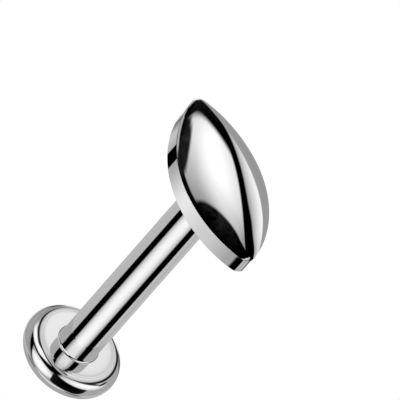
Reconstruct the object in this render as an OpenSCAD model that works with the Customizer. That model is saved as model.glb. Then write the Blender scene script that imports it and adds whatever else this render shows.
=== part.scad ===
// Labret stud, 16 gauge: a flat-back post with a round disc, and a domed
// marquise top whose pin pushes into the end of the post.
// All sizes are in millimetres. The stud stands on its disc, +Z runs up the
// post, and the long axis of the marquise lies along X.

/* [Post] */
// Diameter of the post
post_d = 1.2; // [1.1:0.1:1.6]
// Length of the post, from the disc's face to the back of the marquise
post_l = 8.1; // [5:0.1:16]
// Radius of the fillet where the post meets the disc
foot_r = 0.07; // [0.03:0.01:0.15]

/* [Disc] */
// Diameter of the disc
disc_d = 3; // [2.6:0.1:5]
// Thickness of the disc, whose rim is fully round
disc_t = 0.82; // [0.5:0.02:1.2]

/* [Marquise] */
// Length of the marquise from tip to tip
top_l = 5.34; // [4:0.02:8]
// Width of the marquise across its middle
top_w = 2.74; // [2:0.02:3.6]
// Radius of the two rounded tips, seen from above
tip_r = 0.35; // [0.1:0.01:0.5]
// Height of the upright band around the marquise
band_h = 0.56; // [0.3:0.01:0.9]
// Rise of the dome above the band, at its middle
dome_rise = 0.55; // [0.3:0.01:0.8]

/* [Pin] */
// Diameter of the pin under the marquise
pin_d = 0.7; // [0.5:0.05:0.8]
// Length of the pin
pin_l = 1.1; // [0.8:0.1:2]
// Radius of the pin's rounded nose
nose_r = 0.2; // [0.05:0.01:0.25]
// Radius of the fillet where the pin meets the marquise
root_r = 0.08; // [0.02:0.01:0.1]

/* [Fit] */
// Gap between the pin and the wall of its bore, on each side
pin_gap = 0.03; // [0.01:0.01:0.06]
// Gap between the end of the post and the back of the marquise
seat_gap = 0.01; // [0.01:0.01:0.05]
// Depth of the bore past the nose of the pin
bore_spare = 0.25; // [0.1:0.05:0.5]
// Gap between the fillet of the pin and the countersink of the bore
sink_gap = 0.03; // [0.01:0.01:0.06]

/* [Hidden] */
$fn = 144;

// Heights up the post
back_z = disc_t + post_l;
post_end_z = back_z - seat_gap;

// The bore and its countersink follow the pin and its fillet
bore_d = pin_d + 2 * pin_gap;
bore_z = back_z - pin_l - bore_spare;
sink = root_r + sink_gap;

// Radius of the disc's round rim
rim_r = disc_t / 2;

// The marquise is bounded by two long arcs that run into two round tips.
// side_turn is the angle of the outline where a long arc meets a tip.
half_l = top_l / 2;
half_w = top_w / 2;
tip_x = half_l - tip_r;
side_r = (tip_x * tip_x + half_w * half_w - tip_r * tip_r) / (2 * (half_w - tip_r));
side_y = side_r - half_w;
side_turn = atan2(tip_x, side_y);

// Each cross-section of the dome is the same circular arc, scaled to the width there.
// dome_turn is half the angle of that arc.
dome_turn = 2 * atan(dome_rise / half_w);

// Steps along half a side, around half a tip and over the dome
side_steps = 16;
tip_steps = 4;
dome_steps = 16;
crease_z = back_z + band_h;

// Place along the marquise and half width there, at an angle of the outline
function outline(turn) =
    abs(turn) <= side_turn
        ? [side_r * sin(turn), side_r * cos(turn) - side_y]
        : [sign(turn) * tip_x + tip_r * sin(turn), tip_r * cos(turn)];

// Angles of the cross-sections between the two tips
tip_turns = [for (k = [1 : tip_steps - 1]) side_turn + (90 - side_turn) * k / tip_steps];
turns = concat(
    [for (k = [tip_steps - 2 : -1 : 0]) -tip_turns[k]],
    [for (k = [-side_steps : side_steps]) side_turn * k / side_steps],
    tip_turns);

// One cross-section, from the near corner of the back over the dome to the far one
function section(x, w) = concat(
    [[x, -w, back_z]],
    [for (j = [0 : dome_steps])
        let (turn = dome_turn * (2 * j / dome_steps - 1))
        [x, w * sin(turn) / sin(dome_turn),
            crease_z + w * (cos(turn) - cos(dome_turn)) / sin(dome_turn)]],
    [[x, w, back_z]]);

// Triangles that close a ring of points onto the upright edge of a tip.
// The edge runs from point number low to the one after it.
function tip_faces(first, per, low) = concat(
    [for (j = [1 : per - 3]) [first + j + 1, first + j, low + 1]],
    [[first + 1, first, low], [first + 1, low, low + 1],
        [first + per - 1, first + per - 2, low], [first + per - 2, low + 1, low],
        [first, first + per - 1, low]]);

// A face turned round, so that it looks the other way
function turned(face) = [face[0], face[2], face[1]];

// The flat back, upright band and dome, as one closed shell
module marquise_head() {
    per = dome_steps + 3;
    rings = len(turns);
    tips = per * rings;
    points = concat(
        [for (turn = turns) let (place = outline(turn)) each section(place[0], place[1])],
        [for (x = [-half_l, half_l]) each [[x, 0, back_z], [x, 0, crease_z]]]);
    skin = [for (i = [0 : rings - 2], j = [0 : per - 1])
        let (a = i * per + j, b = i * per + (j + 1) % per)
        each [[a, b, b + per], [a, b + per, a + per]]];
    polyhedron(
        points = points,
        faces = concat(
            skin,
            tip_faces(0, per, tips),
            [for (face = tip_faces(per * (rings - 1), per, tips + 2)) turned(face)]),
        convexity = 2);
}

// A concave ring that blends a shaft of radius r into the flat face below it
module root_fillet(r, fillet) {
    rotate_extrude()
        difference() {
            translate([r / 2, 0])
                square([r / 2 + fillet, fillet]);
            translate([r + fillet, fillet])
                circle(fillet);
        }
}

// The pin, pointing up from its root, with a rounded nose.
// Its stem reaches half way into the band, so that the two are one solid.
module pin() {
    rotate_extrude() {
        square([pin_d / 2, pin_l - nose_r]);
        square([pin_d / 2 - nose_r, pin_l]);
        translate([pin_d / 2 - nose_r, pin_l - nose_r])
            intersection() {
                circle(nose_r);
                square(nose_r);
            }
    }
    translate([0, 0, -band_h / 2])
        cylinder(h = band_h, d = pin_d);
    root_fillet(pin_d / 2, root_r);
}

// Flat disc, post and the bore in the post's end
module disc_post() {
    color([0.80, 0.81, 0.82])
        difference() {
            union() {
                rotate_extrude() {
                    square([disc_d / 2 - rim_r, disc_t]);
                    translate([disc_d / 2 - rim_r, rim_r])
                        circle(rim_r);
                }
                cylinder(h = post_end_z, d = post_d);
                translate([0, 0, disc_t])
                    root_fillet(post_d / 2, foot_r);
            }
            translate([0, 0, bore_z])
                cylinder(h = post_end_z, d = bore_d);
            translate([0, 0, post_end_z - sink])
                cylinder(h = 2 * sink, r1 = bore_d / 2, r2 = bore_d / 2 + 2 * sink);
        }
}

// Domed marquise with its pin underneath
module marquise_top() {
    color([0.84, 0.85, 0.86]) {
        marquise_head();
        translate([0, 0, back_z])
            mirror([0, 0, 1])
                pin();
    }
}

disc_post();
marquise_top();
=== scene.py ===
"""Flat-back labret stud with a domed marquise top, its polished steel and its studio.

The stud stands on its disc, +Z runs up the post and the marquise lies along X.
"""

import math

import bmesh
import bpy
from mathutils import Matrix, Vector


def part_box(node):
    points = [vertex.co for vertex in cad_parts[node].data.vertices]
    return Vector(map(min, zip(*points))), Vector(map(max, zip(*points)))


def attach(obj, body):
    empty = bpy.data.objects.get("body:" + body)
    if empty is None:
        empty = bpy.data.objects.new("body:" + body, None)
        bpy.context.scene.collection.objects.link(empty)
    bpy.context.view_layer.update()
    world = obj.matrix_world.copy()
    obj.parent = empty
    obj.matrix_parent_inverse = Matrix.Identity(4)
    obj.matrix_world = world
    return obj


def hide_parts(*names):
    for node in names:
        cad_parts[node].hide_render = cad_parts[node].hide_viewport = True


bl_info = {
    "name": "Labret stud",
    "version": (1, 0, 0),
    "blender": (4, 5, 0),
    "location": "View3D > Sidebar > Labret stud",
    "description": "Builds a flat-back labret stud with a domed marquise top, "
                   "and a studio round it",
    "category": "Add Mesh",
}

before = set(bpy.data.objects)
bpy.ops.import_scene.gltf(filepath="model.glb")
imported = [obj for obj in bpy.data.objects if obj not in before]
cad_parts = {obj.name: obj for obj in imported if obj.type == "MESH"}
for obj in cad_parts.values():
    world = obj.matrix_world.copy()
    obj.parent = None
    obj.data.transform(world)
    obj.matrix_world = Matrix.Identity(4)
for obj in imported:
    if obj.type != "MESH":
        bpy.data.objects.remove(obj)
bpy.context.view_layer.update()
POST_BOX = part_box("disc_post")
TOP_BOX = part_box("marquise_top")

MM = 0.001
# The disc is the widest part of its piece
DISC_WIDTH = min(POST_BOX[1][axis] - POST_BOX[0][axis] for axis in (0, 1))
PIN_LENGTH = 1.1 * MM
SEAT_GAP = 0.01 * MM
# Height of the marquise's flat back above the disc's
BACK_Z = TOP_BOX[0][2] + PIN_LENGTH


# Sizes and colours


def length(name, description, default):
    """A size in metres, shown in the scene's length unit."""
    return bpy.props.FloatProperty(
        name=name, description=description, default=default, min=0.0, unit="LENGTH",
        precision=6,
    )


def angle(name, description, degrees):
    """An angle, shown in the scene's angle unit."""
    return bpy.props.FloatProperty(
        name=name, description=description, default=math.radians(degrees), subtype="ANGLE",
    )


def factor(name, description, default, highest=1.0):
    """A plain number from nought up to highest."""
    return bpy.props.FloatProperty(
        name=name, description=description, default=default, min=0.0, max=highest,
        precision=4,
    )


def colour(name, description, default):
    """A linear colour."""
    return bpy.props.FloatVectorProperty(
        name=name, description=description, default=default, size=3, min=0.0, max=1.0,
        subtype="COLOR",
    )


class StudPostSizes(bpy.types.PropertyGroup):
    """Sizes of the disc, the post and the bore in the post's end."""

    disc_width: length("Disc width", "Diameter of the disc", DISC_WIDTH)
    disc_thickness: length("Disc thickness", "Its rim is fully round", 0.82 * MM)
    post_width: length("Post width", "Diameter of the post", 1.2 * MM)
    foot_fillet: length("Foot fillet", "Radius where the post meets the disc", 0.07 * MM)
    end_round: length("End round", "Radius of the post's end edge", 0.02 * MM)
    bore_width: length("Bore width", "Diameter of the bore for the pin", 0.76 * MM)
    bore_depth: length("Bore depth", "Depth below the post's end", 1.34 * MM)
    countersink: length("Countersink", "Width of the bore's chamfer", 0.11 * MM)


class StudTopSizes(bpy.types.PropertyGroup):
    """Sizes of the marquise head and its pin."""

    head_length: length("Length", "From tip to tip", TOP_BOX[1][0] - TOP_BOX[0][0])
    head_width: length("Width", "Across the middle", TOP_BOX[1][1] - TOP_BOX[0][1])
    tip_radius: length("Tip radius", "Radius of the two rounded tips", 0.35 * MM)
    band_height: length("Band height", "Height of the upright band", 0.56 * MM)
    dome_rise: length("Dome rise", "Rise of the dome above the band", 0.55 * MM)
    crease_fillet: length("Crease fillet", "Radius between band and dome", 0.022 * MM)
    back_fillet: length("Back fillet", "Radius between band and back", 0.018 * MM)
    pin_width: length("Pin width", "Diameter of the pin", 0.7 * MM)
    pin_nose: length("Pin nose", "Radius of the pin's rounded nose", 0.2 * MM)
    pin_root: length("Pin root", "Radius where the pin meets the back", 0.08 * MM)


class StudFinish(bpy.types.PropertyGroup):
    """Polished steel of the two pieces."""

    post_colour: colour("Post colour", "Steel of the disc and post", (0.81, 0.81, 0.81))
    top_colour: colour("Top colour", "Steel of the marquise", (0.81, 0.81, 0.81))
    roughness: factor("Roughness", "Roughness of the clean polish", 0.02)
    haze: factor("Haze", "Roughness added where the polish is hazy", 0.03)
    film: factor("Film", "Share of dull film on one side of the dome", 0.03)
    line_depth: factor("Polish lines", "Strength of the polishing lines", 0.10)
    mottle_depth: factor("Mottle", "Strength of the soft ripples", 0.20)
    face_crown: length("Face crown", "Shaded rise of the face to its middle", 0.01 * MM)
    face_shoulder: length("Face shoulder", "Shaded fall at the face's edge", 0.009 * MM)


class StudStudio(bpy.types.PropertyGroup):
    """Camera, floor and light."""

    view_width: length("View width", "Width of what the camera sees", 400 / 35.5 * MM)
    lens: bpy.props.FloatProperty(
        name="Lens", description="Focal length, long enough to show hardly any perspective",
        default=1600.0, min=1.0, unit="CAMERA",
    )
    head_turn: angle("Head turn", "Turn of the camera's right from the X axis", 41.34)
    lift: angle("Lift", "How far above the horizon the camera stands", 44.75)
    lean: angle("Lean", "How far the post leans to the right in the picture", 41.3)
    floor_white: factor("Floor white", "Brightness of the pale light table", 1.0, 2.0)
    lamp: bpy.props.FloatProperty(
        name="Lamp", description="Power of the lamp on the dome's film", default=2.0,
        min=0.0,
    )


SETTINGS = {
    "stud_post": StudPostSizes,
    "stud_top": StudTopSizes,
    "stud_finish": StudFinish,
    "stud_studio": StudStudio,
}


# Formulas as maths nodes


class Num:
    """A number in a node tree. Sums and products of it add maths nodes."""

    def __init__(self, tree, value):
        self.tree, self.value = tree, value

    def math(self, kind, *others):
        """The result of a maths node of this kind."""
        node = self.tree.nodes.new("ShaderNodeMath")
        node.operation = kind
        for socket, value in zip(node.inputs, (self, *others)):
            plug(self.tree, value, socket)
        return Num(self.tree, node.outputs[0])

    def __add__(self, other):
        return self.math("ADD", other)

    def __sub__(self, other):
        return self.math("SUBTRACT", other)

    def __mul__(self, other):
        return self.math("MULTIPLY", other)

    def __truediv__(self, other):
        return self.math("DIVIDE", other)

    def __rsub__(self, other):
        return Num(self.tree, other).math("SUBTRACT", self)

    def __rtruediv__(self, other):
        return Num(self.tree, other).math("DIVIDE", self)

    __radd__ = __add__
    __rmul__ = __mul__

    def choose(self, when_one, when_nought):
        """when_one where this is 1 and when_nought where it is 0."""
        return when_nought + self * (when_one - when_nought)


def plug(tree, value, socket):
    """Sets a socket to a number, or links it to another socket."""
    if isinstance(value, Num):
        value = value.value
    if isinstance(value, bpy.types.NodeSocket):
        tree.links.new(value, socket)
    else:
        socket.default_value = value


def sin(x):
    return x.math("SINE")


def cos(x):
    return x.math("COSINE")


def clamp(x, lowest, highest):
    return x.math("MAXIMUM", lowest).math("MINIMUM", highest)


def ramp(tree, value, start, end):
    """A smooth step from nought at start to one at end."""
    node = tree.nodes.new("ShaderNodeMapRange")
    node.interpolation_type = "SMOOTHSTEP"
    for key, given in (("Value", value), ("From Min", start), ("From Max", end)):
        plug(tree, given, node.inputs[key])
    return Num(tree, node.outputs[0])


def vector(tree, x, y, z):
    """The vector with these three numbers."""
    node = tree.nodes.new("ShaderNodeCombineXYZ")
    for socket, value in zip(node.inputs, (x, y, z)):
        plug(tree, value, socket)
    return node.outputs[0]


def split(tree, place):
    """The three numbers of a vector."""
    node = tree.nodes.new("ShaderNodeSeparateXYZ")
    tree.links.new(place, node.inputs[0])
    return [Num(tree, socket) for socket in node.outputs]


# Meshes


# A fillet is supported by a ring of points this far from its edge
NEAR = 0.004 * MM
# Points closer than this are one point
MERGE = 2e-8
# Edges that turn more than this stay sharp
SHARP = math.radians(40)


def mesh_object(name, work):
    """A linked object with the faces of this bmesh, which is freed."""
    mesh = bpy.data.meshes.new(name)
    work.to_mesh(mesh)
    work.free()
    piece = bpy.data.objects.new(name, mesh)
    bpy.context.collection.objects.link(piece)
    return piece


def outward(mesh):
    """Merges doubles, turns every face outwards and shades the mesh smooth."""
    work = bmesh.new()
    work.from_mesh(mesh)
    bmesh.ops.remove_doubles(work, verts=work.verts, dist=MERGE)
    bmesh.ops.recalc_face_normals(work, faces=work.faces)
    if work.calc_volume(signed=True) < 0:
        bmesh.ops.reverse_faces(work, faces=work.faces)
    loose = [edge for edge in work.edges if len(edge.link_faces) != 2]
    if loose:
        raise RuntimeError(f"{mesh.name}: {len(loose)} open edges")
    for one in work.faces:
        one.smooth = True
    work.to_mesh(mesh)
    work.free()
    mesh.set_sharp_from_angle(angle=SHARP)
    mesh.validate()
    mesh.update()


# The marquise as a rule


# Points round the outline
STATIONS = 360
# Rings of points along each stretch of the section, from the top of the dome to the pin
RINGS = {"dome": 34, "crease": 10, "band": 4, "corner": 8, "back": 6, "root": 10,
         "pin": 3, "nose": 12, "end": 3}
# Stands for the nought of a cosine that is divided by
TINY = 1e-4
HEAD_INPUTS = ("head_length", "head_width", "tip_radius", "band_height", "dome_rise",
               "crease_fillet", "back_fillet", "pin_width", "pin_nose", "pin_root")


def marquise_tree():
    """Geometry nodes that sweep the head and its pin round the marquise outline."""
    tree = bpy.data.node_groups.new("marquise_rule", "GeometryNodeTree")
    face = tree.interface
    for name in HEAD_INPUTS + ("pin_length", "back_z"):
        face.new_socket(name, in_out="INPUT", socket_type="NodeSocketFloat")
    face.new_socket("steel", in_out="INPUT", socket_type="NodeSocketMaterial")
    face.new_socket("Geometry", in_out="OUTPUT", socket_type="NodeSocketGeometry")
    given = tree.nodes.new("NodeGroupInput")
    size = {s.name: Num(tree, s) for s in given.outputs if s.name}
    half_length, half_width = size["head_length"] * 0.5, size["head_width"] * 0.5
    tip_r, back_z, rise = size["tip_radius"], size["back_z"], size["dome_rise"]
    crease_z = back_z + size["band_height"]
    tip_x = half_length - tip_r
    side_r = (tip_x * tip_x + half_width * half_width - tip_r * tip_r) / (
        (half_width - tip_r) * 2.0)
    side_y = side_r - half_width
    side_turn = tip_x.math("ARCTAN2", side_y)
    dome_turn = (rise / half_width).math("ARCTANGENT") * 2.0

    # Every strip is a grid: u runs round the outline and v along the section
    joined = tree.nodes.new("GeometryNodeJoinGeometry")
    place = tree.nodes.new("GeometryNodeInputPosition")
    u, v = (part + 0.5 for part in split(tree, place.outputs[0])[:2])
    turn = (1.0 - (u * 4.0 - 2.0).math("ABSOLUTE")) * (math.pi / 2)
    side = (0.5 - u).math("SIGN")
    steep = turn.math("ABSOLUTE")
    on_side = steep.math("LESS_THAN", side_turn)
    out_x, out_y = sin(turn), side * cos(turn)
    x = turn.math("SIGN") * on_side.choose(side_r * sin(steep), tip_x + tip_r * sin(steep))
    y = side * on_side.choose(side_r * cos(turn) - side_y, tip_r * cos(turn))

    def strip(rings, along, across, height):
        """A grid whose points lie at along, across and height."""
        grid = tree.nodes.new("GeometryNodeMeshGrid")
        grid.inputs["Vertices X"].default_value = STATIONS + 1
        grid.inputs["Vertices Y"].default_value = rings + 1
        move = tree.nodes.new("GeometryNodeSetPosition")
        tree.links.new(grid.outputs["Mesh"], move.inputs["Geometry"])
        tree.links.new(vector(tree, along, across, height), move.inputs["Position"])
        tree.links.new(move.outputs[0], joined.inputs[0])

    # The crease fillet turns from the band's normal to the dome's, in the upright plane of
    # the outline's normal. There the dome climbs more steeply towards the tips.
    fillet = size["crease_fillet"]
    climb = dome_turn.math("TANGENT") / cos(turn).math("MAXIMUM", TINY)
    bend = (1.0 / climb).math("ARCTANGENT")
    set_back = fillet * (bend * 0.5).math("TANGENT")

    def crease(q):
        inward = fillet * (1.0 - cos(q))
        return x - out_x * inward, y - out_y * inward, crease_z - set_back + fillet * sin(q)

    # The dome's last ring is the edge of the crease fillet, and the one before supports it
    dome_rings = RINGS["dome"]
    ring = v * float(dome_rings)
    last = ring.math("GREATER_THAN", dome_rings - 0.5)
    edge = ring.math("GREATER_THAN", dome_rings - 1.5)
    share = (ring / float(dome_rings - 1)).math("MINIMUM", 1.0)
    swing = dome_turn * share
    end_x, end_y, end_z = crease(bend)
    lead = (1.0 - last) * sin(bend) * NEAR
    rise_angle = math.pi / 2 - bend
    dome_y = y * sin(swing) / sin(dome_turn)
    dome_z = crease_z + y.math("ABSOLUTE") * (cos(swing) - cos(dome_turn)) / sin(dome_turn)
    strip(dome_rings,
          edge.choose(end_x - out_x * cos(rise_angle) * lead, x),
          edge.choose(end_y - out_y * cos(rise_angle) * lead, dome_y),
          edge.choose(end_z + sin(rise_angle) * lead, dome_z))
    strip(RINGS["crease"], *crease(bend * (1.0 - v)))

    # Band, with a supporting ring next to each fillet
    low = size["back_fillet"]
    band_top, band_low = crease_z - set_back, back_z + low
    strip(1, x, y, band_top - v * NEAR)
    strip(RINGS["band"], x, y, band_top - NEAR + v * (band_low - band_top + 2 * NEAR))
    strip(1, x, y, band_low + (1.0 - v) * NEAR)
    q = v * (math.pi / 2)
    inner = low * (1.0 - cos(q))
    strip(RINGS["corner"], x - out_x * inner, y - out_y * inner, band_low - low * sin(q))
    inner = low + v * NEAR
    strip(1, x - out_x * inner, y - out_y * inner, back_z)

    # Flat back, down to the ring where the pin's root begins
    root = size["pin_root"]
    pin_r = size["pin_width"] * 0.5
    root_r = pin_r + root + NEAR
    inner = low + NEAR
    start_x, start_y = x - out_x * inner, y - out_y * inner
    strip(RINGS["back"], start_x + (out_x * root_r - start_x) * v,
          start_y + (out_y * root_r - start_y) * v, back_z)

    def pin(rings, radius, depth):
        """A strip round the pin, at a depth below the marquise's back."""
        strip(rings, out_x * radius, out_y * radius, back_z - depth)

    nose = size["pin_nose"]
    pin_low = size["pin_length"] - nose
    pin(1, root_r - v * NEAR, 0.0)
    pin(RINGS["root"], pin_r + root - root * sin(q), root - root * cos(q))
    pin(1, pin_r, root + v * NEAR)
    pin(RINGS["pin"], pin_r, root + NEAR + v * (pin_low - root - 2 * NEAR))
    pin(1, pin_r, pin_low - (1.0 - v) * NEAR)
    pin(RINGS["nose"], pin_r - nose * (1.0 - cos(q)), pin_low + nose * sin(q))
    pin(RINGS["end"], (pin_r - nose) * (1.0 - v), size["pin_length"])

    merge = tree.nodes.new("GeometryNodeMergeByDistance")
    merge.inputs["Distance"].default_value = MERGE
    tree.links.new(joined.outputs[0], merge.inputs["Geometry"])
    smooth = tree.nodes.new("GeometryNodeSetShadeSmooth")
    tree.links.new(merge.outputs[0], smooth.inputs["Geometry"])
    real = tree.nodes.new("GeometryNodeRealizeInstances")
    tree.links.new(smooth.outputs[0], real.inputs[0])
    coat = tree.nodes.new("GeometryNodeSetMaterial")
    tree.links.new(real.outputs[0], coat.inputs["Geometry"])
    tree.links.new(given.outputs["steel"], coat.inputs["Material"])
    out = tree.nodes.new("NodeGroupOutput")
    tree.links.new(coat.outputs[0], out.inputs[0])
    return tree


def grown(name, tree, values):
    """The plain mesh object that a geometry tree makes from these input values."""
    seed = bpy.data.objects.new(name + "_seed", bpy.data.meshes.new(name + "_seed"))
    bpy.context.collection.objects.link(seed)
    modifier = seed.modifiers.new("rule", "NODES")
    modifier.node_group = tree
    for item in tree.interface.items_tree:
        if item.in_out == "INPUT" and item.name in values:
            modifier[item.identifier] = values[item.name]
    graph = bpy.context.evaluated_depsgraph_get()
    mesh = bpy.data.meshes.new_from_object(seed.evaluated_get(graph), depsgraph=graph)
    seed.modifiers.remove(modifier)
    bpy.data.objects.remove(seed)
    mesh.name = name
    piece = bpy.data.objects.new(name, mesh)
    bpy.context.collection.objects.link(piece)
    return piece


# Revolved disc and post


# Points round the post
SEGMENTS = 288
# Steps along each stretch of the section
STEPS = {"rim": 72, "foot": 14, "shaft": 8, "end": 8}


def arc(centre, radius, start, end, steps):
    """Points on an arc in the radius and height plane, angles in degrees."""
    turns = [math.radians(start + (end - start) * k / steps) for k in range(steps + 1)]
    return [(centre[0] + radius * math.cos(turn), centre[1] + radius * math.sin(turn))
            for turn in turns]


def post_profile(size):
    """Section of the disc, post and bore, from the disc's back to the bore's floor."""
    rim = size.disc_thickness / 2
    flat = size.disc_width / 2 - rim
    face = size.disc_thickness
    post = size.post_width / 2
    foot, end = size.foot_fillet, size.end_round
    shaft = face + foot
    top = BACK_Z - SEAT_GAP
    bore = size.bore_width / 2
    mouth = bore + size.countersink
    floor = top - size.bore_depth
    rises = STEPS["shaft"]
    line = [(0.0, 0.0), (flat / 2, 0.0), (flat - NEAR, 0.0)]
    line += arc((flat, rim), rim, -90, 90, STEPS["rim"])
    line += [(flat - NEAR, face), (post + foot + NEAR, face)]
    line += arc((post + foot, shaft), foot, 270, 180, STEPS["foot"])
    line += [(post, shaft + NEAR)]
    line += [(post, shaft + (top - shaft) * k / rises) for k in range(1, rises)]
    line += [(post, top - end - NEAR)]
    line += arc((post - end, top - end), end, 0, 90, STEPS["end"])
    line += [(post - end - NEAR, top), (mouth + NEAR, top)]
    line += [(mouth, top), (mouth - NEAR, top - NEAR)]
    line += [(bore, top - size.countersink), (bore, floor), (0.0, floor)]
    return line


def revolved(name, line):
    """A closed mesh that turns a section about the Z axis."""
    work = bmesh.new()
    turns = [math.tau * k / SEGMENTS for k in range(SEGMENTS)]
    rings = []
    for radius, height in line:
        around = turns if radius > MERGE else [0.0]
        rings.append([
            work.verts.new((radius * math.cos(turn), radius * math.sin(turn), height))
            for turn in around])
    for lower, upper in zip(rings, rings[1:]):
        for k in range(SEGMENTS):
            corners = [lower[k % len(lower)], lower[(k + 1) % len(lower)],
                       upper[(k + 1) % len(upper)], upper[k % len(upper)]]
            work.faces.new(list(dict.fromkeys(corners)))
    return mesh_object(name, work)


# Polished steel


# Height of one unit of a bump
BUMP_DEPTH = 0.001 * MM
# Noise of the polish: what places it, scale, detail, roughness and distortion
LINE_NOISE = ("Lined place", 9000.0, 2.0, 0.6, 0.0)
MOTTLE_NOISE = ("Place", 1500.0, 1.0, 0.5, 0.0)
HAZE_NOISE = ("Place", 420.0, 3.0, 0.6, 0.0)
FILM_NOISE = ("Place", 3600.0, 6.0, 0.8, 0.8)
# Level of its noise at which each begins, and how fast it grows from there
HAZE_START, HAZE_GROWTH = 0.5, 5.0
FILM_START, FILM_GROWTH = 0.38, 4.2
# Least and most film, as shares of its setting
FILM_LEAST, FILM_MOST = 0.05, 1.4
# How much the haze and the lines darken the steel
HAZE_SHADE, LINE_SHADE = 0.02, 0.015
# Across the dome the film begins and is full at these places, and it is full at this
# height above the crease
FILM_FROM, FILM_TO, FILM_RISE = -0.05 * MM, -0.75 * MM, 0.4 * MM
# Polishing lines are stretched along their run, to this length in one radian round the
# post and to this share along the dome
LINE_ROUND, LINE_ALONG = 0.02 * MM, 0.03
# The shading of the disc's face ends softly here, as shares of the face's radius
FACE_END, FACE_SOFTNESS = 1.03, 0.03
# Higher numbers keep the fall of the face closer to its edge
SHOULDER_POWER = 14.0


def polish_group():
    """Colour, roughness and height of hand-polished steel."""
    group = bpy.data.node_groups.get("polish_detail")
    if group:
        return group
    group = bpy.data.node_groups.new("polish_detail", "ShaderNodeTree")
    face = group.interface
    for name, kind in (("Place", "Vector"), ("Lined place", "Vector"), ("Steel", "Color"),
                       ("Roughness", "Float"), ("Haze", "Float"), ("Film", "Float"),
                       ("Line depth", "Float"), ("Mottle depth", "Float")):
        face.new_socket(name, in_out="INPUT", socket_type="NodeSocket" + kind)
    for name, kind in (("Color", "Color"), ("Metallic", "Float"), ("Roughness", "Float"),
                       ("Height", "Float")):
        face.new_socket(name, in_out="OUTPUT", socket_type="NodeSocket" + kind)
    given = group.nodes.new("NodeGroupInput")
    out = group.nodes.new("NodeGroupOutput")

    def noise(place, *values):
        node = group.nodes.new("ShaderNodeTexNoise")
        for key, value in zip(("Scale", "Detail", "Roughness", "Distortion"), values):
            node.inputs[key].default_value = value
        group.links.new(given.outputs[place], node.inputs["Vector"])
        return Num(group, node.outputs["Fac"])

    size = {s.name: Num(group, s) for s in given.outputs if s.name and s.type == "VALUE"}
    lines, mottle = noise(*LINE_NOISE), noise(*MOTTLE_NOISE)
    haze = clamp((noise(*HAZE_NOISE) - HAZE_START) * HAZE_GROWTH, 0.0, 1.0)
    rough = size["Roughness"] + size["Haze"] * haze * lines
    plug(group, rough, out.inputs["Roughness"])
    height = lines * size["Line depth"] + mottle * size["Mottle depth"]
    plug(group, height, out.inputs["Height"])
    film = clamp((noise(*FILM_NOISE) - FILM_START) * FILM_GROWTH, FILM_LEAST, FILM_MOST)
    plug(group, 1.0 - size["Film"] * film, out.inputs["Metallic"])
    tone = group.nodes.new("ShaderNodeMix")
    tone.data_type = "RGBA"
    tone.blend_type = "MULTIPLY"
    tone.inputs["Factor"].default_value = 1.0
    group.links.new(given.outputs["Steel"], tone.inputs["A"])
    shade = 1.0 - haze * HAZE_SHADE - lines * LINE_SHADE
    shade_colour = group.nodes.new("ShaderNodeCombineColor")
    for socket in shade_colour.inputs:
        plug(group, shade, socket)
    group.links.new(shade_colour.outputs[0], tone.inputs["B"])
    group.links.new(tone.outputs["Result"], out.inputs["Color"])
    return group


def steel(name, colour_value, finish, face=None, crease=None):
    """Mirror-polished steel, with fine lines from the polishing wheel.

    They run round the Z axis on a turned piece with a face of this radius, which the wheel
    leaves slightly crowned, and along the dome on a piece with a crease at this height.
    """
    material = bpy.data.materials.new(name)
    material.use_nodes = True
    tree = material.node_tree
    shader = tree.nodes["Principled BSDF"]
    place = tree.nodes.new("ShaderNodeTexCoord").outputs["Object"]
    x, y, z = split(tree, place)
    detail = tree.nodes.new("ShaderNodeGroup")
    detail.node_tree = polish_group()
    height = Num(tree, detail.outputs["Height"])
    if face:
        radius = (x * x + y * y).math("SQRT")
        lined = vector(tree, radius, z, y.math("ARCTAN2", x) * LINE_ROUND)
        shader.inputs["Metallic"].default_value = 1.0
        share = (radius / face).math("SMOOTH_MIN", FACE_END, FACE_SOFTNESS)
        crown = share * share * (finish.face_crown / BUMP_DEPTH)
        fall = share.math("POWER", SHOULDER_POWER) * (finish.face_shoulder / BUMP_DEPTH)
        height = height - crown - fall
    else:
        lined = vector(tree, x * LINE_ALONG, y, z)
        # The buffing wheel leaves a film on the side of the dome where it ran off
        across = ramp(tree, y, FILM_FROM, FILM_TO)
        film = across * ramp(tree, z, crease, crease + FILM_RISE)
        plug(tree, film * finish.film, detail.inputs["Film"])
        tree.links.new(detail.outputs["Metallic"], shader.inputs["Metallic"])
    tree.links.new(place, detail.inputs["Place"])
    tree.links.new(lined, detail.inputs["Lined place"])
    detail.inputs["Steel"].default_value = (*colour_value, 1.0)
    detail.inputs["Roughness"].default_value = finish.roughness
    detail.inputs["Haze"].default_value = finish.haze
    detail.inputs["Line depth"].default_value = finish.line_depth
    detail.inputs["Mottle depth"].default_value = finish.mottle_depth
    bump = tree.nodes.new("ShaderNodeBump")
    bump.inputs["Distance"].default_value = BUMP_DEPTH
    tree.links.new(detail.outputs["Color"], shader.inputs["Base Color"])
    tree.links.new(detail.outputs["Roughness"], shader.inputs["Roughness"])
    plug(tree, height, bump.inputs["Height"])
    tree.links.new(bump.outputs["Normal"], shader.inputs["Normal"])
    return material


class StudAddPost(bpy.types.Operator):
    """Adds the disc and post, turned in one piece"""

    bl_idname = "stud.add_post"
    bl_label = "Disc and post"

    def execute(self, context):
        size, finish = context.scene.stud_post, context.scene.stud_finish
        piece = revolved("turned_post", post_profile(size))
        outward(piece.data)
        face = (size.disc_width - size.disc_thickness) / 2
        metal = steel("post_steel", finish.post_colour, finish, face=face)
        piece.data.materials.append(metal)
        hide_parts("disc_post")
        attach(piece, "base")
        return {"FINISHED"}


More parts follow.
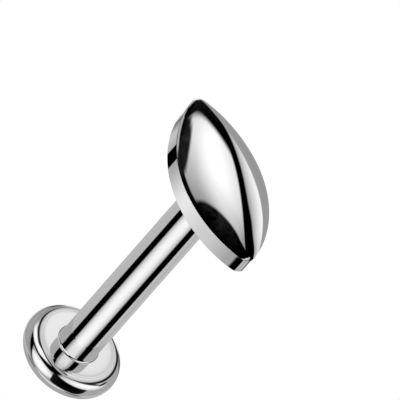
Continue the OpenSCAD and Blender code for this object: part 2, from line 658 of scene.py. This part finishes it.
class StudAddTop(bpy.types.Operator):
    """Adds the marquise head with its pin"""

    bl_idname = "stud.add_top"
    bl_label = "Marquise top"

    def execute(self, context):
        size, finish = context.scene.stud_top, context.scene.stud_finish
        crease = BACK_Z + size.band_height
        metal = steel("top_steel", finish.top_colour, finish, crease=crease)
        values = {name: getattr(size, name) for name in HEAD_INPUTS}
        values |= {"pin_length": PIN_LENGTH, "back_z": BACK_Z, "steel": metal}
        piece = grown("marquise_head", marquise_tree(), values)
        outward(piece.data)
        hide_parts("marquise_top")
        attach(piece, "top")
        return {"FINISHED"}


# Studio


# Each panel: name, turn and lift of its middle, roll, half width and half height, all in
# degrees, then how square it is, how soft its edge is, and how bright it is in its middle
# and at its border. The turn is 0 in front of the stud and grows to the right. A panel
# stands before the ones above it in its list, and a black one is a flag.
POST_PANELS = (
    ("front softbox", -29, 6, 10, 35.5, 31.5, 2, 0.07, 1.33, 0.78),
    ("front flag", 40, 13.5, -7.5, 37, 44, 8, 0.04, 0, 0.01),
    ("overhead flag", -55, 57.5, 25, 36.5, 22.5, 4, 0.07, 0, 0),
    ("left flag", -89, 25, -52, 72, 13, 1.5, 0.22, 0, 0),
    ("left softbox", -68, 61, -16, 13, 16.5, 6, 0.24, 1.15, 1.08),
    ("left wall", -109.5, -9.5, -25, 56.5, 28.5, 1.5, 0.08, 0.45, 0.31),
    ("left lamp", -97, 40, 32, 21, 11, 2.5, 0.6, 1.18, 1.4),
    ("right softbox", 80.5, 37.5, 54, 23, 46.5, 2, 0.11, 1.26, 0.62),
    ("right strip flag", 90.5, 65.5, 25, 7.5, 41, 2, 0.35, 0.06, 0),
    ("right knob", 114.5, 21.5, -24.5, 9, 6, 2, 0.27, 0, 0.11),
    ("rear flag", 173.5, 50.5, -12, 43, 55, 1.5, 0.06, 0, 0.02),
    ("rear softbox", 175, 55.5, 12.5, 29.5, 48, 2, 0.1, 0.94, 0.54),
    ("rear lens", -175, 44, 0, 15, 20, 2, 0.3, 1.02, 0.57),
    ("rear low softbox", 180, -19, 0, 16, 17, 6, 0.15, 1.1, 0.8),
    ("rear left flag", -158, -19, 0, 6, 17, 6, 0.2, 0.15, 0.15),
    ("rear right flag", 158, -19, 0, 6, 17, 6, 0.2, 0.15, 0.15),
    ("low softbox", 5, -45, 0, 28.5, 7, 6, 0.03, 1.16, 0.48),
    ("low left wall", -113, -45, 0, 44, 7, 6, 0.03, 0.58, 0.56),
    ("low right wall", 115.5, -45, 0, 23, 7, 6, 0.05, 0.55, 0.69),
    ("low left flag", -53.5, -44.5, 0, 12, 3, 6, 0.12, 0, 0),
    ("low right flag", 64.5, -44.5, 0, 12.5, 3, 6, 0.14, 0, 0),
)
# What steel shows of the studio where it is seen in other steel
POST_REPEAT_PANELS = (
    ("front softbox", 6, 0, 1.5, 33.5, 80, 6, 0.03, 1.4, 0.63),
    ("left flag", -48.5, 0, 5, 17, 80, 6, 0.18, 0, 0),
    ("right flag", 59.5, 0, -5, 18, 80, 6, 0.24, 0, 0),
)
TOP_PANELS = (
    ("floor", -19.5, -90, 0, 44, 88.5, 2.5, 0.22, 0.5, 1.39),
    ("right floor", 108.5, -47.5, 5, 81.5, 32.5, 8, 0.59, 1.1, 0),
    ("far floor", 147, -39.5, -17, 19.5, 3, 1.5, 0.16, 0.43, 0),
    ("left floor flag", -112, -45, 0, 6, 25, 6, 0.06, 0, 0),
    ("front floor flag", 33, -45, 0, 16.5, 17.5, 6, 0.06, 0, 0),
    ("overhead softbox", -129.5, 58, -19.5, 36, 33, 16, 0.04, 1.4, 0.91),
    ("front flag", 38, 32, -29, 86.5, 35.5, 14.5, 1, 0, 0),
    ("left edge flag", -11.5, 14, -12, 108, 22.5, 14, 0.05, 0, 0),
    ("rear flag", 157.5, -6, -1.5, 84.5, 41.5, 3, 0.09, 0, 0),
    ("right flag", 86.5, 42.5, 19, 29.5, 30, 12, 1, 0, 0),
    ("rear corner flag", -150, 9.5, 14.5, 10.5, 3, 4, 0.19, 0, 0),
    ("overhead flag", -10, 53.5, -11.5, 29.5, 40.5, 1.5, 0.07, 0, 0),
    ("rear skirting", -150.5, -8, 4, 28.5, 24, 1.5, 1, 1.38, 0.02),
    ("left strip", -86.5, 20, -63.5, 11.5, 43.5, 3, 0.11, 0, 0.68),
    ("left upper flag", -128.5, 11, 15, 7, 6.5, 3, 0.1, 0, 0),
    ("left corner flag", -68, 27, 39.5, 21.5, 16.5, 1.5, 0.05, 0, 0),
    ("left lens", -101.5, 34.5, 8.5, 20, 8, 2, 0.26, 0.01, 0.01),
    ("right softbox", 163, -20.5, 10, 26.5, 60, 3.5, 0.04, 1.4, 0.42),
    ("right wall", 169, -12, 19.5, 24.5, 22, 3, 0.08, 0.36, 0.4),
    ("upper right softbox", 82, 42, 0, 28, 10, 4, 0.15, 0.9, 0.5),
    ("front right softbox", 62, 14, 0, 34, 15, 3, 0.4, 1.1, 0.6),
    ("front left softbox", -24, 6, 0, 32, 18, 4, 0.1, 1.2, 0.8),
)
# Tone of the walls behind the panels of each list
POST_WALLS, POST_REPEAT_WALLS, TOP_WALLS = 0.46, 0.58, 0.0
# The two light domes stand one inside the other
POST_DOME_RADIUS, TOP_DOME_RADIUS = 0.4, 0.44
# A ray that has met the stud twice on its way to the dome is deeper than this
REPEAT_DEPTH = 1.5
ANGLES = ("Turn", "Lift", "Roll", "Half width", "Half height")
PANEL_INPUTS = (*ANGLES, "Squareness", "Softness", "Middle", "Border")


def panel_group():
    """Puts one soft-edged studio panel, seen from the middle of the studio, over a tone."""
    group = bpy.data.node_groups.get("studio_panel")
    if group:
        return group
    group = bpy.data.node_groups.new("studio_panel", "ShaderNodeTree")
    face = group.interface
    face.new_socket("Direction", in_out="INPUT", socket_type="NodeSocketVector")
    for name in ("Behind", *PANEL_INPUTS):
        face.new_socket(name, in_out="INPUT", socket_type="NodeSocketFloat")
    face.new_socket("Tone", in_out="OUTPUT", socket_type="NodeSocketFloat")
    given = group.nodes.new("NodeGroupInput")
    size = {s.name: Num(group, s) for s in given.outputs if s.name and s.type == "VALUE"}
    out = group.nodes.new("NodeGroupOutput")
    turned = given.outputs["Direction"]
    for axis, amount in (((0, 0, 1), size["Turn"] * -1.0), ((1, 0, 0), size["Lift"]),
                         ((0, 1, 0), size["Roll"])):
        node = group.nodes.new("ShaderNodeVectorRotate")
        node.rotation_type = "AXIS_ANGLE"
        node.inputs["Axis"].default_value = axis
        group.links.new(turned, node.inputs["Vector"])
        plug(group, amount, node.inputs["Angle"])
        turned = node.outputs[0]
    x, y, z = split(group, turned)
    across = (x.math("ARCTAN2", y * -1.0) / size["Half width"]).math("ABSOLUTE")
    upward = (z.math("ARCSINE") / size["Half height"]).math("ABSOLUTE")
    power = size["Squareness"]
    both = across.math("POWER", power) + upward.math("POWER", power)
    far = both.math("POWER", 1.0 / power)
    cover = ramp(group, far, 1.0 + size["Softness"], 1.0 - size["Softness"])
    inside = far.math("MINIMUM", 1.0)
    bright = size["Middle"] + (size["Border"] - size["Middle"]) * inside * inside
    plug(group, cover.choose(bright, size["Behind"]), out.inputs[0])
    return group


def hung(tree, direction, panels, tone):
    """The tone of the studio in a direction, with these panels over the walls' tone."""
    for label, *values in panels:
        panel = tree.nodes.new("ShaderNodeGroup")
        panel.node_tree = panel_group()
        panel.label = label
        tree.links.new(direction, panel.inputs["Direction"])
        plug(tree, tone, panel.inputs["Behind"])
        for key, value in zip(PANEL_INPUTS, values):
            unit = math.radians(1) if key in ANGLES else 1.0
            panel.inputs[key].default_value = value * unit
        tone = Num(tree, panel.outputs["Tone"])
    return tone


def only_for(light, receiver):
    """Lets a light reach one piece only."""
    lit = bpy.data.collections.new(light.name + "_lights")
    lit.objects.link(receiver)
    light.light_linking.receiver_collection = lit


def glowing(name):
    """A material without nodes, for a surface that glows and isn't sampled as a lamp."""
    material = bpy.data.materials.new(name)
    material.use_nodes = True
    material.cycles.emission_sampling = "NONE"
    material.node_tree.nodes.clear()
    return material


def light_dome(name, radius, turn, receiver, studio, repeat=None):
    """A shell of light, turned with the camera, that only one piece of the stud reflects.

    The studio and the repeat are each a list of panels and the tone of their walls. The
    repeat is what the piece shows where it is seen in other steel.
    """
    work = bmesh.new()
    bmesh.ops.create_icosphere(work, subdivisions=4, radius=radius)
    bmesh.ops.reverse_faces(work, faces=work.faces)
    dome = mesh_object(name, work)
    for ray in ("camera", "diffuse", "transmission", "volume_scatter", "shadow"):
        setattr(dome, "visible_" + ray, False)
    material = glowing(name)
    tree = material.node_tree
    place = tree.nodes.new("ShaderNodeTexCoord").outputs["Object"]
    turned = tree.nodes.new("ShaderNodeVectorRotate")
    turned.rotation_type = "Z_AXIS"
    tree.links.new(place, turned.inputs["Vector"])
    turned.inputs["Angle"].default_value = -turn
    unit = tree.nodes.new("ShaderNodeVectorMath")
    unit.operation = "NORMALIZE"
    tree.links.new(turned.outputs[0], unit.inputs[0])
    tone = hung(tree, unit.outputs[0], *studio)
    if repeat:
        rays = tree.nodes.new("ShaderNodeLightPath")
        depth = Num(tree, rays.outputs["Ray Depth"])
        again = depth.math("GREATER_THAN", REPEAT_DEPTH)
        tone = again.choose(hung(tree, unit.outputs[0], *repeat), tone)
    glow = tree.nodes.new("ShaderNodeEmission")
    plug(tree, tone, glow.inputs["Color"])
    clear = tree.nodes.new("ShaderNodeBsdfTransparent")
    both = tree.nodes.new("ShaderNodeAddShader")
    tree.links.new(glow.outputs[0], both.inputs[0])
    tree.links.new(clear.outputs[0], both.inputs[1])
    out = tree.nodes.new("ShaderNodeOutputMaterial")
    tree.links.new(both.outputs[0], out.inputs["Surface"])
    dome.data.materials.append(material)
    only_for(dome, receiver)


SENSOR_WIDTH = 36.0
# Middle of the picture: up from the floor, then up and to the left in the picture
TARGET_UP, TARGET_CLIMB, TARGET_LEFT = 0.41 * MM, 5.6 * MM, 0.107 * MM
FLOOR_RADIUS = 0.3
LAMP_PLACE, LAMP_WIDTH = (-0.1, -0.15, 0.3), 0.3


def add_camera(scene, studio):
    """A far camera at the photograph's viewing angle, leaning so that the post does."""
    turn, lift, lean = studio.head_turn, studio.lift, studio.lean
    sideways = Vector((math.cos(turn), math.sin(turn), 0.0))
    away = Vector((-math.sin(turn), math.cos(turn), 0.0))
    up = Vector((0.0, 0.0, 1.0))
    back = up * math.sin(lift) - away * math.cos(lift)
    climb = away * math.sin(lift) + up * math.cos(lift)
    right = climb * math.sin(lean) + sideways * math.cos(lean)
    above = climb * math.cos(lean) - sideways * math.sin(lean)
    target = up * TARGET_UP + climb * TARGET_CLIMB - sideways * TARGET_LEFT
    distance = studio.view_width * studio.lens / SENSOR_WIDTH
    data = bpy.data.cameras.new("camera")
    data.lens = studio.lens
    data.sensor_width = SENSOR_WIDTH
    data.clip_start, data.clip_end = 0.01, 5.0
    camera = bpy.data.objects.new("camera", data)
    scene.collection.objects.link(camera)
    aim = Matrix((right, above, back)).transposed().to_4x4()
    camera.matrix_world = Matrix.Translation(target + back * distance) @ aim
    scene.camera = camera


def add_floor(white):
    """A light table: white from above, and open to a view from below."""
    work = bmesh.new()
    bmesh.ops.create_circle(work, cap_ends=True, segments=96, radius=FLOOR_RADIUS)
    floor = mesh_object("floor", work)
    floor.visible_glossy = floor.visible_shadow = floor.visible_diffuse = False
    pale = glowing("pale_floor")
    tree = pale.node_tree
    table = tree.nodes.new("ShaderNodeEmission")
    table.inputs["Strength"].default_value = white
    clear = tree.nodes.new("ShaderNodeBsdfTransparent")
    seen = tree.nodes.new("ShaderNodeNewGeometry")
    pick = tree.nodes.new("ShaderNodeMixShader")
    out = tree.nodes.new("ShaderNodeOutputMaterial")
    tree.links.new(seen.outputs["Backfacing"], pick.inputs[0])
    tree.links.new(table.outputs[0], pick.inputs[1])
    tree.links.new(clear.outputs[0], pick.inputs[2])
    tree.links.new(pick.outputs[0], out.inputs["Surface"])
    floor.data.materials.append(pale)


def add_film_lamp(scene, power, receiver):
    """A lamp that only brings out the film on the dome."""
    data = bpy.data.lights.new("film_lamp", "AREA")
    data.size = LAMP_WIDTH
    data.energy = power
    lamp = bpy.data.objects.new("film_lamp", data)
    scene.collection.objects.link(lamp)
    lamp.location = LAMP_PLACE
    lamp.rotation_euler = lamp.location.to_track_quat("Z", "Y").to_euler()
    lamp.visible_glossy = False
    only_for(lamp, receiver)


def add_world(scene):
    """A white backdrop that only the camera sees."""
    scene.world = bpy.data.worlds.new("studio")
    scene.world.use_nodes = True
    tree = scene.world.node_tree
    sky = tree.nodes["Background"]
    rays = tree.nodes.new("ShaderNodeLightPath")
    tree.links.new(rays.outputs["Is Camera Ray"], sky.inputs["Strength"])
    sky.inputs["Color"].default_value = (1.0, 1.0, 1.0, 1.0)
    scene.view_settings.view_transform = "Standard"


class StudAddStage(bpy.types.Operator):
    """Adds the floor, the light and the camera"""

    bl_idname = "stud.add_stage"
    bl_label = "Studio"

    def execute(self, context):
        scene, studio = context.scene, context.scene.stud_studio
        post, head = bpy.data.objects["turned_post"], bpy.data.objects["marquise_head"]
        add_camera(scene, studio)
        add_floor(studio.floor_white)
        add_film_lamp(scene, studio.lamp, head)
        light_dome("post_light", POST_DOME_RADIUS, studio.head_turn, post,
                   (POST_PANELS, POST_WALLS), (POST_REPEAT_PANELS, POST_REPEAT_WALLS))
        light_dome("top_light", TOP_DOME_RADIUS, studio.head_turn, head,
                   (TOP_PANELS, TOP_WALLS))
        add_world(scene)
        return {"FINISHED"}


class StudPanel(bpy.types.Panel):
    """Lists the stud's pieces and their sizes"""

    bl_idname = "VIEW3D_PT_labret_stud"
    bl_label = "Labret stud"
    bl_space_type = "VIEW_3D"
    bl_region_type = "UI"
    bl_category = "Labret stud"

    def draw(self, context):
        for kind in OPERATORS:
            self.layout.operator(kind.bl_idname)
        for name, kind in SETTINGS.items():
            box = self.layout.box()
            for key in kind.__annotations__:
                box.prop(getattr(context.scene, name), key)


OPERATORS = (StudAddPost, StudAddTop, StudAddStage)


def register():
    for kind in (*SETTINGS.values(), *OPERATORS, StudPanel):
        bpy.utils.register_class(kind)
    for name, kind in SETTINGS.items():
        setattr(bpy.types.Scene, name, bpy.props.PointerProperty(type=kind))


def unregister():
    for name in SETTINGS:
        delattr(bpy.types.Scene, name)
    for kind in (StudPanel, *reversed(OPERATORS), *reversed(SETTINGS.values())):
        bpy.utils.unregister_class(kind)


def main():
    register()
    bpy.ops.stud.add_post()
    bpy.ops.stud.add_top()
    bpy.ops.stud.add_stage()


if __name__ == "__main__":
    main()
